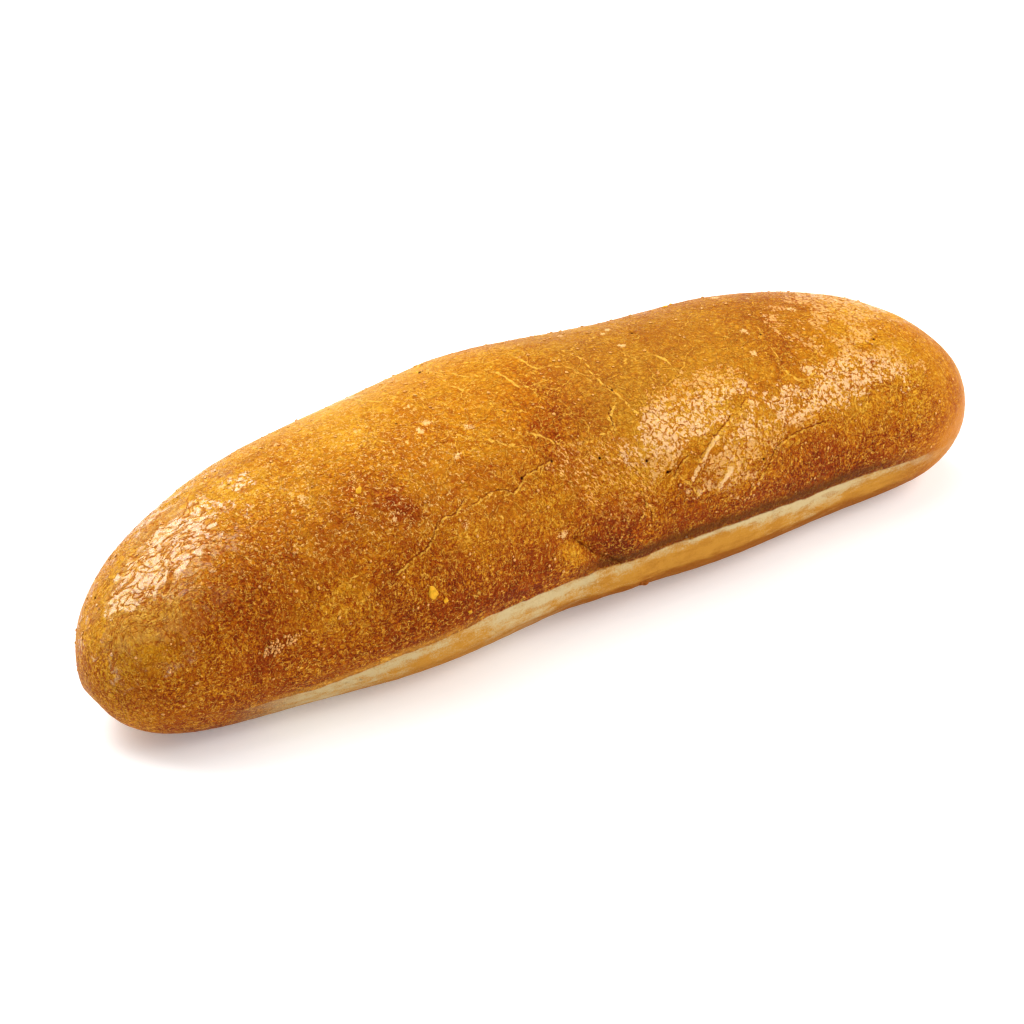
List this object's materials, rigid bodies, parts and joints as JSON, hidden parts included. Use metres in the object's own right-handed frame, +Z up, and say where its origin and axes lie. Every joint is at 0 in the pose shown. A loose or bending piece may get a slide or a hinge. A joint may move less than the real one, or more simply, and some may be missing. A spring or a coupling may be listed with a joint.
{
  "type": "mini baguette",
  "caption": "Short baked loaf with a smooth golden-brown crust and a pale unbrowned band low on its flanks, resting on a flat underside.",
  "frame": {"origin": "on the table plane, under the middle of the loaf's box", "axes": "+X along the loaf towards its blunter end, +Y across it towards the back flank, +Z up from the table"},
  "size_m": [0.21, 0.0644, 0.0486],
  "materials": {
    "crust": "baked egg-washed crust, satin"
  },
  "bodies": {
    "root": {"loaf": "crust"}
  },
  "joints": []
}
